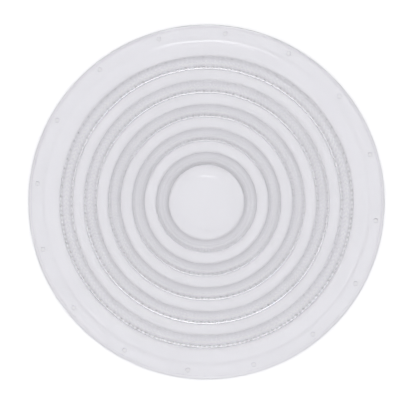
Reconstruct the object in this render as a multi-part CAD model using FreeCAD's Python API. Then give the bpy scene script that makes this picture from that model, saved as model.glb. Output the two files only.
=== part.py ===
import FreeCAD, Part
import math
import os

from FreeCAD import Vector

# One-piece moulded lens plate of a round luminaire, in millimetres.
# It lies on its rear face at Z = 0 and the light leaves along +Z.
# The origin is the centre of the rear face.

# Plate
OUTER_DIAMETER = 300.0
WEB_THICKNESS = 3.0

# Mounting flange round the optics, with a raised rim at its edge
FLANGE_WIDTH = 13.1
FLANGE_THICKNESS = 2.5
SHOULDER_RUN = 0.8
RIM_WIDTH = 2.6
RIM_HEIGHT = 0.7
RIM_DRAFT = 0.3

# Screw holes through the flange
HOLE_COUNT = 16
HOLE_DIAMETER = 3.4
HOLE_EDGE_DISTANCE = 6.5
FIRST_HOLE_ANGLE = 16.2

# Raised pad at the centre
PAD_DIAMETER = 45.6
PAD_HEIGHT = 0.5
PAD_RUN = 0.8
PAD_LAND = 8.75

# Ring lenses: ridges on the front of the web, each with two rows of pillows.
# The heights are those of a pillow's crest, of the valley between the two rows
# and of the groove between neighbours in a row.
RING_COUNT = 5
RIDGE_WIDTH = 11.4
CREST_HEIGHT = 3.1
VALLEY_HEIGHT = 2.5
GROOVE_HEIGHT = 1.9
PILLOWS_PER_ROW = 80
OUTER_LAND = 12.95

# Channels behind the ring lenses, where the light sources sit
SIDE_WALL = 1.7
CROWN_WALL = 2.5
CHANNEL_ROWS = 3
CHANNEL_FACETS = 40

# How far a tool body runs into or out of the web, so that no faces coincide
OVERRUN = 1.0

OUTER_RADIUS = OUTER_DIAMETER / 2
OPTIC_RADIUS = OUTER_RADIUS - FLANGE_WIDTH
FIRST_RING_RADIUS = PAD_DIAMETER / 2 + PAD_LAND + RIDGE_WIDTH / 2
LAST_RING_RADIUS = OPTIC_RADIUS - OUTER_LAND - RIDGE_WIDTH / 2
RING_PITCH = (LAST_RING_RADIUS - FIRST_RING_RADIUS) / (RING_COUNT - 1)
RING_RADII = [FIRST_RING_RADIUS + i * RING_PITCH for i in range(RING_COUNT)]


def revolved(outline):
    """Solid of revolution about the Z axis from (radius, height) points."""
    points = [Vector(r, 0, z) for r, z in outline]
    face = Part.Face(Part.makePolygon(points + points[:1]))
    return face.revolve(Vector(0, 0, 0), Vector(0, 0, 1), 360)


def stations(section, count, first=0.0):
    """Copies of a (radius, height) section round Z, from a first step in equal steps."""
    copies = []
    for i in range(count):
        turn = 2 * math.pi * (i + first) / count
        copies.append([Vector(r * math.cos(turn), r * math.sin(turn), z) for r, z in section])
    return copies


def facet(corners):
    """Flat face between its corners."""
    return Part.Face(Part.makePolygon(corners + corners[:1]))


def strips(here, there):
    """Flat facets between two stations, from each of their points to the next."""
    return [facet([a, b, d, c]) for a, b, c, d in zip(here, here[1:], there, there[1:])]


def closed_solid(facets):
    """Solid inside flat faces that meet edge to edge."""
    shell = Part.makeShell(facets)
    shell.sewShape()
    return Part.Solid(shell)


def arch(centre, half_width, height, rows):
    """Arch of straight steps over the rear face, as (radius, height) points."""
    points = []
    for i in range(rows + 1):
        across = 2 * i / rows - 1
        points.append((centre + half_width * across, height * (1 - across ** 2)))
    return points


def plate():
    """Web with the centre pad, the shoulder down to the flange, and the rim."""
    pad_radius = PAD_DIAMETER / 2
    rim_radius = OUTER_RADIUS - RIM_WIDTH
    rim_top = FLANGE_THICKNESS + RIM_HEIGHT
    return revolved([
        (0, 0),
        (OUTER_RADIUS, 0),
        (OUTER_RADIUS, rim_top),
        (rim_radius + RIM_DRAFT, rim_top),
        (rim_radius, FLANGE_THICKNESS),
        (OPTIC_RADIUS + SHOULDER_RUN, FLANGE_THICKNESS),
        (OPTIC_RADIUS, WEB_THICKNESS),
        (pad_radius, WEB_THICKNESS),
        (pad_radius - PAD_RUN, WEB_THICKNESS + PAD_HEIGHT),
        (0, WEB_THICKNESS + PAD_HEIGHT),
    ])


def pillow(here, there, tip):
    """Facets from the rim of one pillow, between two stations, up to its tip."""
    rim = here + there[::-1]
    return [facet([a, b, tip]) for a, b in zip(rim, rim[1:] + rim[:1])]


def ridge(radius):
    """Ring lens of two rows of pillows on the front of the web, rooted in it."""
    half_width = RIDGE_WIDTH / 2
    row = half_width / 2
    groove = WEB_THICKNESS + GROOVE_HEIGHT
    crest = WEB_THICKNESS + CREST_HEIGHT
    root = WEB_THICKNESS - OVERRUN
    section = [
        (radius - half_width, WEB_THICKNESS),
        (radius - row, groove),
        (radius, WEB_THICKNESS + VALLEY_HEIGHT),
        (radius + row, groove),
        (radius + half_width, WEB_THICKNESS),
        (radius + half_width, root),
        (radius - half_width, root),
        (radius - half_width, WEB_THICKNESS),
    ]
    edges = stations(section, PILLOWS_PER_ROW)
    tips = stations([(radius - row, crest), (radius + row, crest)], PILLOWS_PER_ROW, 0.5)
    facets = []
    for here, there, (inner_tip, outer_tip) in zip(edges, edges[1:] + edges[:1], tips):
        facets += pillow(here[0:3], there[0:3], inner_tip)
        facets += pillow(here[2:5], there[2:5], outer_tip)
        facets += strips(here[4:], there[4:])
    return closed_solid(facets)


def channel(radius):
    """Space behind a ring lens, open at the rear face."""
    half_width = RIDGE_WIDTH / 2 - SIDE_WALL
    depth = WEB_THICKNESS + VALLEY_HEIGHT - CROWN_WALL
    section = arch(radius, half_width, depth, CHANNEL_ROWS)
    section += [(radius + half_width, -OVERRUN), (radius - half_width, -OVERRUN)]
    section += section[:1]
    edges = stations(section, CHANNEL_FACETS)
    facets = []
    for here, there in zip(edges, edges[1:] + edges[:1]):
        facets += strips(here, there)
    return closed_solid(facets)


def screw_holes():
    """Straight holes on one circle through the flange."""
    circle_radius = OUTER_RADIUS - HOLE_EDGE_DISTANCE
    length = FLANGE_THICKNESS + 2 * OVERRUN
    holes = []
    for i in range(HOLE_COUNT):
        hole = Part.makeCylinder(HOLE_DIAMETER / 2, length, Vector(circle_radius, 0, -OVERRUN))
        angle = FIRST_HOLE_ANGLE + 360 * i / HOLE_COUNT
        hole.rotate(Vector(0, 0, 0), Vector(0, 0, 1), angle)
        holes.append(hole)
    return holes


def optic_lens():
    """The whole lens as one solid."""
    body = plate().fuse([ridge(radius) for radius in RING_RADII])
    body = body.cut([channel(radius) for radius in RING_RADII])
    return body.cut(screw_holes())


os.makedirs("parts", exist_ok=True)
optic_lens().exportStep("parts/optic_lens.step")
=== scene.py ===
import math

import bmesh
import bpy
import numpy as np
from bpy.props import FloatProperty, FloatVectorProperty, IntProperty, PointerProperty
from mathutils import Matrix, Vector


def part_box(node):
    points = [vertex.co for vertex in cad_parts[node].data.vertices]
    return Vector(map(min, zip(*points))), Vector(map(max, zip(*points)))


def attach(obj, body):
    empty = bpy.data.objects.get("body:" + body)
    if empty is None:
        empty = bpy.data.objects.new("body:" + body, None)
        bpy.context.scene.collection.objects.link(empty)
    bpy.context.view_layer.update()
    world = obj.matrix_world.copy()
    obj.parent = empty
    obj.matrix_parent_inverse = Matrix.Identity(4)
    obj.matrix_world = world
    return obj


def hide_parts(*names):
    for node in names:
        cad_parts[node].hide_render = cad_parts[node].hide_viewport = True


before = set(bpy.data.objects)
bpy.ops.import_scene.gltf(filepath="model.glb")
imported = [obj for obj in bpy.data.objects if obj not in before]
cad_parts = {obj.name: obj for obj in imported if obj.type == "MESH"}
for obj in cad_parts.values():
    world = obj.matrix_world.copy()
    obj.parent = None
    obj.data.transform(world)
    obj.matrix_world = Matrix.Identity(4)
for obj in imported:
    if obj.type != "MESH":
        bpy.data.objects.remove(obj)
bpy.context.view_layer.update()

bl_info = {
    "name": "Ring lens plate",
    "version": (1, 0, 0),
    "blender": (4, 5, 0),
    "location": "3D View > Sidebar > Ring lens",
    "description": "Makes the clear moulded lens plate of a round luminaire, and a pale studio round it",
    "category": "Add Mesh",
}

PLATE_LOW, PLATE_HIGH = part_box("optic_lens")

# Mesh density: columns round the plate, twice as many round the ring lenses, and steps across each shape
COLUMNS = 480
FINE_COLUMNS = 2 * COLUMNS
PILLOW_STEPS = 6
CHANNEL_STEPS = 7
ROUND_STEPS = 2
STEP_LOOPS = 3
HOLE_COLUMNS = 4

# Loops on the flat middle, as a share of its radius and a number of columns
MIDDLE_LOOPS = ((0.2, 60), (0.4, 120), (0.7, 240))

# How sharply a facet's hollow fades out towards the channel's edges
HOLLOW_FADE = 4

# Edges that bend more than this are shaded sharp
SHARP_ANGLE = math.radians(32)

# Grain of the materials: noise scales, depth of the ripple, and the floor's shine and roughness
CLOUD_SCALE = 45.0
CLOUD_DETAIL = 3.0
FLOW_SCALE = 30.0
RIPPLE_DEPTH = 0.001
GRAIN_SCALE = 200.0
FLOOR_SHINE = 0.1
FLOOR_SMOOTHEST = 0.85
FLOOR_ROUGHEST = 0.95

# Floor and sky: squares along the floor's side, its gap below the plate, and the sky's faint blue
FLOOR_SQUARES = 2
FLOOR_GAP = 0.0002
SKY_COLOUR = (1.0, 1.0, 1.02, 1.0)

# Place of the plate's outline in the photograph, in pixels
PHOTO_SIDE = 400
OUTLINE_CENTRE = (206.5, 202.4)
OUTLINE_RADIUS = 178.0

# Camera: width of its sensor in millimetres, and the nearest that it sees in metres
SENSOR = 36.0
NEAREST_SIGHT = 0.01


def length(name, description, millimetres):
    """Length property in metres from a size in millimetres."""
    return FloatProperty(
        name=name,
        description=description,
        default=millimetres / 1000,
        min=0.0,
        precision=5,
        unit="LENGTH",
    )


def rotation(name, description, degrees):
    """Angle property in radians from an angle in degrees."""
    return FloatProperty(
        name=name,
        description=description,
        default=math.radians(degrees),
        unit="ROTATION",
    )


def colour(name, description, default):
    """Colour property of three values from 0 to 1."""
    return FloatVectorProperty(
        name=name,
        description=description,
        subtype="COLOR",
        default=default,
        min=0.0,
        max=1.0,
    )


class PlateSizes(bpy.types.PropertyGroup):
    """Sizes of the lens plate."""

    outer_diameter: FloatProperty(
        name="Outer diameter",
        description="Diameter over the flange",
        default=PLATE_HIGH.x - PLATE_LOW.x,
        unit="LENGTH",
    )
    web_thickness: length("Web thickness", "Wall between the ring lenses", 3.0)
    flange_width: length("Flange width", "From the outer edge to the optics", 13.1)
    flange_thickness: length("Flange thickness", "Wall of the mounting flange", 2.5)
    shoulder_run: length("Shoulder run", "Width of the slope down to the flange", 2.6)
    rim_width: length("Rim width", "Width of the raised rim", 2.6)
    rim_height: length("Rim height", "Rise of the rim over the flange", 0.7)
    rim_draft: length("Rim draft", "Slope of the rim's inner wall", 0.3)
    pad_diameter: length("Pad diameter", "Raised pad at the centre", 45.6)
    pad_height: length("Pad height", "Rise of the centre pad", 0.5)
    pad_run: length("Pad run", "Width of the slope at the pad's edge", 3.0)
    edge_round: length("Edge rounding", "Radius at the outer edges", 0.3)


class HoleSizes(bpy.types.PropertyGroup):
    """Screw holes in the flange."""

    count: IntProperty(name="Count", description="Number of screw holes", default=16, min=1)
    diameter: length("Diameter", "Clearance for the screw", 3.4)
    edge_break: length("Edge break", "Bevel at both ends of a hole", 0.4)
    edge_distance: length("Edge distance", "Hole centre to the outer edge", 6.5)
    first_angle: rotation("First angle", "Angle of the first hole from X", 16.2)


class RingSizes(bpy.types.PropertyGroup):
    """Ring lenses and the channels behind them."""

    count: IntProperty(name="Count", description="Number of ring lenses", default=5, min=1)
    first_radius: length("First radius", "Radius of the innermost ring lens", 37.25)
    pitch: length("Pitch", "Spacing of the ring lenses", 20.25)
    ridge_width: length("Ridge width", "Width of a ring lens at its foot", 11.4)
    ridge_height: length("Ridge height", "Rise of a ring lens without its pillows", 2.4)
    foot_blend: FloatProperty(name="Foot blend", description="Softness of the ridge's feet", default=1.2)
    pillows: IntProperty(name="Pillows", description="Pillows round each of the two rows", default=192)
    pillow_rise: length("Pillow rise", "Dome of a pillow", 0.9)
    channel_width: length("Channel width", "Width of the channel behind a ring lens", 8.0)
    channel_depth: length("Channel depth", "Depth of the channel", 2.8)
    channel_facets: IntProperty(name="Facets", description="Facets round each channel", default=96)
    facet_rise: length("Facet rise", "Hollow of a facet in the channel", 0.3)


class PlasticFinish(bpy.types.PropertyGroup):
    """Finish of the clear plastic."""

    tint: colour("Tint", "Colour of the clear plastic", (0.985, 0.98, 1.0))
    refraction: FloatProperty(name="Refraction", description="Index of refraction", default=1.585)
    polish: FloatProperty(name="Polish", description="Roughness where the mould is brightest", default=0.03)
    haze: FloatProperty(name="Haze", description="Roughness where the mould is dullest", default=0.08)
    ripple: FloatProperty(name="Ripple", description="Strength of the faint flow ripple", default=0.02)


class StudioSettings(bpy.types.PropertyGroup):
    """Floor, light and camera."""

    floor_colour: colour("Floor colour", "Colour of the floor", (0.97, 0.97, 0.97))
    floor_size: length("Floor size", "Side of the floor", 8000.0)
    sky: FloatProperty(name="Sky", description="Even light from all round", default=0.84)
    overhead: FloatProperty(name="Overhead", description="Soft light from straight above", default=1.37)
    overhead_spread: rotation("Overhead spread", "Half angle of the light from above", 34)
    window: FloatProperty(name="Window", description="Soft light from the far side", default=3.0)
    window_spread: rotation("Window spread", "Half angle of the light from the far side", 13)
    window_angle: rotation("Window angle", "Angle of the far light from straight above", 20)
    camera_distance: length("Camera distance", "From the camera to the plate", 8000.0)
    camera_tilt: rotation("Camera tilt", "Lean of the line of sight from the plate's axis", 6)


def turned_loop(mesh, radius, height, count, start):
    """Loop of vertices at a radius. The height is one number or one for each vertex."""
    angles = start + 2 * math.pi * np.arange(count) / count
    heights = np.broadcast_to(height, count)
    loop = []
    for angle, z in zip(angles, heights):
        loop.append(mesh.verts.new((radius * math.cos(angle), radius * math.sin(angle), z)))
    return loop


def join_loops(mesh, first, second, skipped=()):
    """Faces between two loops, of which one may have twice the vertices of the other."""
    count = min(len(first), len(second))
    for i in range(count):
        if i in skipped:
            continue
        j = (i + 1) % count
        if len(first) == len(second):
            mesh.faces.new((first[i], second[i], second[j], first[j]))
        elif len(second) > len(first):
            middle = second[2 * i + 1]
            mesh.faces.new((first[i], second[2 * i], middle))
            mesh.faces.new((first[i], middle, first[j]))
            mesh.faces.new((first[j], middle, second[2 * j]))
        else:
            middle = first[2 * i + 1]
            mesh.faces.new((first[2 * i], second[i], middle))
            mesh.faces.new((second[i], second[j], middle))
            mesh.faces.new((second[j], first[2 * j], middle))


def join_chain(mesh, loops, skipped=()):
    """Faces from each loop of a chain to the next."""
    for here, there in zip(loops, loops[1:]):
        join_loops(mesh, here, there, skipped)


def ring_radii(rings):
    """Radii of the ring lenses, from the innermost to the outermost."""
    return [rings.first_radius + i * rings.pitch for i in range(rings.count)]


def place_in_each(count, columns):
    """Place of each column in its own pillow or facet, from -1 to 1. The count is how many go round."""
    place = np.arange(columns) * count / columns
    return 2 * (place % 1.0) - 1


def ridge_offsets(rings):
    """Offsets from the middle of a ridge, from its inner foot to its outer foot."""
    row = rings.ridge_width / 2
    outer = [row * (1 - math.cos(math.pi * i / PILLOW_STEPS)) / 2 for i in range(PILLOW_STEPS + 1)]
    return [-offset for offset in reversed(outer[1:])] + outer


def ridge_heights(rings, radius, offset):
    """Rise of the ridge over the web, for each of the fine columns. Small rings have flatter pillows."""
    share = abs(offset) / (rings.ridge_width / 2)
    arch = rings.ridge_height * (1 - share**2) ** rings.foot_blend
    across = 2 * share - 1
    around = place_in_each(rings.pillows, FINE_COLUMNS)
    crown = rings.pillow_rise * (1 - across**2) ** rings.foot_blend
    dome = crown * (1 - radius / ring_radii(rings)[-1] * around**2)
    return arch + dome


def channel_offsets(rings):
    """Offsets from the middle of a channel, from its outer edge to its inner edge."""
    half = rings.channel_width / 2
    return [half * math.cos(math.pi * i / CHANNEL_STEPS) for i in range(CHANNEL_STEPS + 1)]


def channel_heights(rings, radius, offset):
    """Height of the channel over the rear face, for each column. Small rings have flatter facets."""
    share = min(1.0, abs(offset) / (rings.channel_width / 2))
    arch = rings.channel_depth * (1 - share**2)
    around = place_in_each(rings.channel_facets, COLUMNS)
    fade = 1 - share**HOLLOW_FADE
    return arch + rings.facet_rise * radius / ring_radii(rings)[-1] * around**2 * fade


def rounded(corner, before, after, radius):
    """Arc points for a square corner, between two unit directions that point away from it."""
    points = []
    for i in range(ROUND_STEPS + 1):
        turn = math.pi / 2 * i / ROUND_STEPS
        along = radius * (1 - math.sin(turn))
        beyond = radius * (1 - math.cos(turn))
        points.append((
            corner[0] + before[0] * along + after[0] * beyond,
            corner[1] + before[1] * along + after[1] * beyond,
        ))
    return points


def soft_step(mesh, radius, run, top, bottom, start):
    """Loops of a soft step down round a radius, with a flat guard loop on each side."""
    loops = [turned_loop(mesh, radius - run, top, COLUMNS, start)]
    for i in range(STEP_LOOPS + 1):
        share = i / STEP_LOOPS
        height = bottom + (top - bottom) * (1 + math.cos(math.pi * share)) / 2
        loops.append(turned_loop(mesh, radius + run * (share - 0.5), height, COLUMNS, start))
    loops.append(turned_loop(mesh, radius + run, bottom, COLUMNS, start))
    return loops


def front_loops(mesh, sizes, rings, start):
    """The vertex at the front's centre, then the loops of the front to the outermost ring lens."""
    web = sizes.web_thickness
    pad_top = web + sizes.pad_height
    pad = sizes.pad_diameter / 2
    loops = [mesh.verts.new((0, 0, pad_top))]
    inside = pad - sizes.pad_run
    for share, count in MIDDLE_LOOPS:
        loops.append(turned_loop(mesh, inside * share, pad_top, count, start))
    loops += soft_step(mesh, pad, sizes.pad_run, pad_top, web, start)
    for radius in ring_radii(rings):
        for offset in ridge_offsets(rings):
            heights = web + ridge_heights(rings, radius, offset)
            loops.append(turned_loop(mesh, radius + offset, heights, FINE_COLUMNS, start))
    return loops


def hole_rows(sizes, holes):
    """Radii of the rows that frame a screw hole, evenly spaced about its centre."""
    centre = sizes.outer_diameter / 2 - holes.edge_distance
    reach = 2 * math.pi * centre / COLUMNS * HOLE_COLUMNS / 2
    return [centre + reach * (2 * i / HOLE_COLUMNS - 1) for i in range(HOLE_COLUMNS + 1)]


def hole_columns(holes):
    """For each hole, the first of the columns that it takes up."""
    middles = [round(i * COLUMNS / holes.count) for i in range(holes.count)]
    return [(middle - HOLE_COLUMNS // 2) % COLUMNS for middle in middles]


def skipped_columns(holes):
    """Columns whose faces give way to the holes."""
    taken = set()
    for first in hole_columns(holes):
        taken.update((first + k) % COLUMNS for k in range(HOLE_COLUMNS))
    return taken


def frame_of_hole(rows, first):
    """Vertices round the square that frames a hole, starting at its inner first corner."""
    columns = [(first + k) % COLUMNS for k in range(HOLE_COLUMNS + 1)]
    inner = [rows[0][c] for c in columns]
    outer = [rows[-1][c] for c in columns]
    rising = [row[columns[0]] for row in rows]
    falling = [row[columns[-1]] for row in rows]
    return rising[:-1] + outer[:-1] + falling[:0:-1] + inner[:0:-1]


def hole_circle(mesh, centre, radius, height, frame_loop):
    """Circle of a hole with two vertices for each of its frame, in step with it."""
    count = 2 * len(frame_loop)
    corner = frame_loop[0].co
    begin = math.atan2(corner.y - centre.y, corner.x - centre.x)
    circle = []
    for i in range(count):
        angle = begin + 2 * math.pi * i / count
        point = (centre.x + radius * math.cos(angle), centre.y + radius * math.sin(angle), height)
        circle.append(mesh.verts.new(point))
    return circle


def cut_holes(mesh, sizes, holes, front_rows, rear_rows, start):
    """Fills the skipped squares with faces round each hole, and adds the hole's wall."""
    radius = sizes.outer_diameter / 2 - holes.edge_distance
    for i, first in enumerate(hole_columns(holes)):
        angle = start + 2 * math.pi * i / holes.count
        centre = Vector((radius * math.cos(angle), radius * math.sin(angle), 0))
        front = frame_of_hole(front_rows, first)
        rear = frame_of_hole(rear_rows, first)
        bore = holes.diameter / 2
        bevel = holes.edge_break
        top = sizes.flange_thickness
        steps = [(bore + bevel, 0.0), (bore, bevel), (bore, top - bevel), (bore + bevel, top)]
        circles = [hole_circle(mesh, centre, size, height, front) for size, height in steps]
        join_chain(mesh, [rear] + circles + [front])


def flange_profile(sizes):
    """Radius and height of the flange, over the rim and down to the rear face, after the hole rows."""
    outer = sizes.outer_diameter / 2
    rim = outer - sizes.rim_width
    top = sizes.flange_thickness + sizes.rim_height
    profile = [(rim, sizes.flange_thickness), (rim + sizes.rim_draft, top)]
    profile += rounded((outer, top), (-1, 0), (0, -1), sizes.edge_round)
    profile += rounded((outer, 0.0), (0, 1), (-1, 0), sizes.edge_round)
    return profile


def rear_loops(mesh, sizes, rings, start):
    """Loops of the rear face from the outermost channel to the innermost, and on towards the centre."""
    loops = []
    for radius in reversed(ring_radii(rings)):
        for offset in channel_offsets(rings):
            heights = channel_heights(rings, radius, offset)
            loops.append(turned_loop(mesh, radius + offset, heights, COLUMNS, start))
    inside = sizes.pad_diameter / 2
    for share, count in ((1.0, COLUMNS), *reversed(MIDDLE_LOOPS)):
        loops.append(turned_loop(mesh, inside * share, 0.0, count, start))
    return loops


def close_with(mesh, centre, loop):
    """Triangles from a centre vertex to a loop, wound with the loop."""
    for i, vert in enumerate(loop):
        mesh.faces.new((centre, vert, loop[(i + 1) % len(loop)]))


def plate_mesh(sizes, holes, rings):
    """The whole lens plate as one closed mesh, walked from the front's centre to the rear's."""
    mesh = bmesh.new()
    start = holes.first_angle
    skipped = skipped_columns(holes)
    front = front_loops(mesh, sizes, rings, start)
    close_with(mesh, front[0], front[1])
    loops = front[1:]
    optic_edge = sizes.outer_diameter / 2 - sizes.flange_width
    flange = sizes.flange_thickness
    loops += soft_step(mesh, optic_edge, sizes.shoulder_run, sizes.web_thickness, flange, start)
    join_chain(mesh, loops)

    radii = hole_rows(sizes, holes)
    front_rows = [turned_loop(mesh, radius, flange, COLUMNS, start) for radius in radii]
    rear_rows = [turned_loop(mesh, radius, 0.0, COLUMNS, start) for radius in reversed(radii)]
    join_chain(mesh, front_rows, skipped)
    join_chain(mesh, rear_rows, skipped)
    cut_holes(mesh, sizes, holes, front_rows, rear_rows[::-1], start)

    edge = [turned_loop(mesh, radius, z, COLUMNS, start) for radius, z in flange_profile(sizes)]
    join_loops(mesh, loops[-1], front_rows[0])
    join_chain(mesh, [front_rows[-1]] + edge + [rear_rows[0]])

    rear = [rear_rows[-1]] + rear_loops(mesh, sizes, rings, start)
    join_chain(mesh, rear)
    centre = mesh.verts.new((0, 0, 0))
    close_with(mesh, centre, rear[-1][::-1])

    # The vertices inside the squares of the holes belong to no face
    bmesh.ops.delete(mesh, geom=[v for v in mesh.verts if not v.link_faces], context="VERTS")
    return mesh


def object_from(mesh, name):
    """New object in the scene from a finished bmesh."""
    data = bpy.data.meshes.new(name)
    mesh.to_mesh(data)
    mesh.free()
    made = bpy.data.objects.new(name, data)
    bpy.context.scene.collection.objects.link(made)
    return made


def coloured_material(name, shade):
    """New material of one colour, with its nodes, its links and its shader."""
    material = bpy.data.materials.new(name)
    material.use_nodes = True
    nodes = material.node_tree.nodes
    shader = nodes["Principled BSDF"]
    shader.inputs["Base Color"].default_value = (*shade, 1.0)
    return material, nodes, material.node_tree.links, shader


def wandering_roughness(nodes, links, noise, shader, smoothest, roughest):
    """Roughness that follows a noise between two values."""
    spread = nodes.new("ShaderNodeMapRange")
    spread.inputs["To Min"].default_value = smoothest
    spread.inputs["To Max"].default_value = roughest
    links.new(noise.outputs["Fac"], spread.inputs["Value"])
    links.new(spread.outputs["Result"], shader.inputs["Roughness"])


def clear_plastic(finish):
    """Clear moulded plastic with an uneven polish and a faint flow ripple."""
    material, nodes, links, shader = coloured_material("clear_plastic", finish.tint)
    shader.inputs["Transmission Weight"].default_value = 1.0
    shader.inputs["IOR"].default_value = finish.refraction
    place = nodes.new("ShaderNodeTexCoord")
    cloud = nodes.new("ShaderNodeTexNoise")
    cloud.inputs["Scale"].default_value = CLOUD_SCALE
    cloud.inputs["Detail"].default_value = CLOUD_DETAIL
    links.new(place.outputs["Object"], cloud.inputs["Vector"])
    wandering_roughness(nodes, links, cloud, shader, finish.polish, finish.haze)
    flow = nodes.new("ShaderNodeTexNoise")
    flow.inputs["Scale"].default_value = FLOW_SCALE
    bump = nodes.new("ShaderNodeBump")
    bump.inputs["Strength"].default_value = finish.ripple
    bump.inputs["Distance"].default_value = RIPPLE_DEPTH
    links.new(place.outputs["Object"], flow.inputs["Vector"])
    links.new(flow.outputs["Fac"], bump.inputs["Height"])
    links.new(bump.outputs["Normal"], shader.inputs["Normal"])
    return material


def pale_floor(settings):
    """Matt pale floor with a very faint grain."""
    material, nodes, links, shader = coloured_material("pale_floor", settings.floor_colour)
    shader.inputs["Specular IOR Level"].default_value = FLOOR_SHINE
    grain = nodes.new("ShaderNodeTexNoise")
    grain.inputs["Scale"].default_value = GRAIN_SCALE
    wandering_roughness(nodes, links, grain, shader, FLOOR_SMOOTHEST, FLOOR_ROUGHEST)
    return material


class RINGLENS_OT_make_plate(bpy.types.Operator):
    """Make the lens plate with its pillows, channels, rim and screw holes"""

    bl_idname = "ring_lens.make_plate"
    bl_label = "Make lens plate"

    def execute(self, context):
        scene = context.scene
        mesh = plate_mesh(scene.plate_sizes, scene.hole_sizes, scene.ring_sizes)
        plate = object_from(mesh, "lens_plate")
        plate.data.polygons.foreach_set("use_smooth", [True] * len(plate.data.polygons))
        plate.data.set_sharp_from_angle(angle=SHARP_ANGLE)
        plate.data.materials.append(clear_plastic(scene.plastic_finish))
        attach(plate, "root")
        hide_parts("optic_lens")
        return {"FINISHED"}


def light_lobe(nodes, links, place, direction, spread, strength):
    """Socket with a soft round patch of light in the sky."""
    facing = nodes.new("ShaderNodeVectorMath")
    facing.operation = "DOT_PRODUCT"
    facing.inputs[1].default_value = direction
    links.new(place, facing.inputs[0])
    fade = nodes.new("ShaderNodeMapRange")
    fade.interpolation_type = "SMOOTHERSTEP"
    fade.inputs["From Min"].default_value = math.cos(spread)
    fade.inputs["From Max"].default_value = 1.0
    fade.inputs["To Min"].default_value = 0.0
    fade.inputs["To Max"].default_value = strength
    links.new(facing.outputs["Value"], fade.inputs["Value"])
    return fade.outputs["Result"]


def studio_sky(settings):
    """Soft light from all round, stronger overhead and towards the far side."""
    world = bpy.data.worlds.new("studio_sky")
    world.use_nodes = True
    bpy.context.scene.world = world
    nodes = world.node_tree.nodes
    links = world.node_tree.links
    place = nodes.new("ShaderNodeTexCoord").outputs["Generated"]
    lean = settings.window_angle
    above = light_lobe(nodes, links, place, (0, 0, 1), settings.overhead_spread, settings.overhead)
    far = (0, math.sin(lean), math.cos(lean))
    window = light_lobe(nodes, links, place, far, settings.window_spread, settings.window)
    lobes = nodes.new("ShaderNodeMath")
    lobes.operation = "ADD"
    links.new(above, lobes.inputs[0])
    links.new(window, lobes.inputs[1])
    total = nodes.new("ShaderNodeMath")
    total.operation = "ADD"
    total.inputs[1].default_value = settings.sky
    links.new(lobes.outputs[0], total.inputs[0])
    links.new(total.outputs[0], nodes["Background"].inputs["Strength"])
    nodes["Background"].inputs["Color"].default_value = SKY_COLOUR


def photo_camera(settings, plate_radius, plate_height):
    """Camera that frames the plate as the photograph does."""
    camera = bpy.data.cameras.new("photo_camera")
    stand = bpy.data.objects.new("photo_camera", camera)
    distance = settings.camera_distance
    lean = settings.camera_tilt
    metres_per_pixel = plate_radius / OUTLINE_RADIUS
    target = Vector((0, 0, plate_height))
    back = Vector((0, math.sin(lean), math.cos(lean)))
    up = Vector((0, math.cos(lean), -math.sin(lean)))
    right = (PHOTO_SIDE / 2 - OUTLINE_CENTRE[0]) * metres_per_pixel
    raised = (OUTLINE_CENTRE[1] - PHOTO_SIDE / 2) * metres_per_pixel
    stand.location = target + back * distance + Vector((right, 0, 0)) + up * raised
    stand.rotation_euler = (-lean, 0, 0)
    camera.sensor_width = SENSOR
    camera.lens = SENSOR * distance / (PHOTO_SIDE * metres_per_pixel)
    camera.clip_start = NEAREST_SIGHT
    bpy.context.scene.collection.objects.link(stand)
    bpy.context.scene.camera = stand


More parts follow.
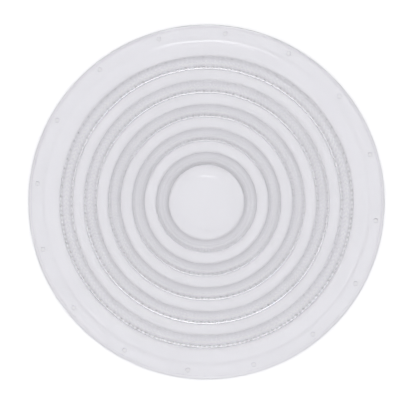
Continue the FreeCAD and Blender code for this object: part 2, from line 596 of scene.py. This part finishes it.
class RINGLENS_OT_make_studio(bpy.types.Operator):
    """Make the pale floor, the soft light and the camera"""

    bl_idname = "ring_lens.make_studio"
    bl_label = "Make studio"

    def execute(self, context):
        scene = context.scene
        settings = scene.studio_settings
        mesh = bmesh.new()
        half = settings.floor_size / 2
        bmesh.ops.create_grid(mesh, x_segments=FLOOR_SQUARES, y_segments=FLOOR_SQUARES, size=half)
        floor = object_from(mesh, "studio_floor")
        floor.location.z = PLATE_LOW.z - FLOOR_GAP
        floor.data.materials.append(pale_floor(settings))
        studio_sky(settings)
        photo_camera(settings, scene.plate_sizes.outer_diameter / 2, scene.plate_sizes.flange_thickness)
        scene.view_settings.view_transform = "Standard"
        return {"FINISHED"}


class RINGLENS_PT_panel(bpy.types.Panel):
    """Sizes, finish and studio of the ring lens plate"""

    bl_idname = "RINGLENS_PT_panel"
    bl_label = "Ring lens plate"
    bl_space_type = "VIEW_3D"
    bl_region_type = "UI"
    bl_category = "Ring lens"

    def draw(self, context):
        for group_name, operator in PANEL_ROWS:
            box = self.layout.box()
            group = getattr(context.scene, group_name)
            for name in group.bl_rna.properties.keys():
                if name not in ("rna_type", "name"):
                    box.prop(group, name)
            if operator:
                box.operator(operator)


GROUPS = {
    "plate_sizes": PlateSizes,
    "hole_sizes": HoleSizes,
    "ring_sizes": RingSizes,
    "plastic_finish": PlasticFinish,
    "studio_settings": StudioSettings,
}
# Boxes of the panel: a group of settings, and the operator that stands below it
PANEL_ROWS = (
    ("plate_sizes", None),
    ("hole_sizes", None),
    ("ring_sizes", None),
    ("plastic_finish", RINGLENS_OT_make_plate.bl_idname),
    ("studio_settings", RINGLENS_OT_make_studio.bl_idname),
)
OPERATORS = (RINGLENS_OT_make_plate, RINGLENS_OT_make_studio)


def register():
    """Add the property groups, the operators and the panel."""
    for name, group in GROUPS.items():
        bpy.utils.register_class(group)
        setattr(bpy.types.Scene, name, PointerProperty(type=group))
    for operator in OPERATORS:
        bpy.utils.register_class(operator)
    bpy.utils.register_class(RINGLENS_PT_panel)


def unregister():
    """Take them out again."""
    bpy.utils.unregister_class(RINGLENS_PT_panel)
    for operator in OPERATORS:
        bpy.utils.unregister_class(operator)
    for name, group in GROUPS.items():
        delattr(bpy.types.Scene, name)
        bpy.utils.unregister_class(group)


def main():
    """Make the plate and its studio."""
    register()
    bpy.ops.ring_lens.make_plate()
    bpy.ops.ring_lens.make_studio()


if __name__ == "__main__":
    main()
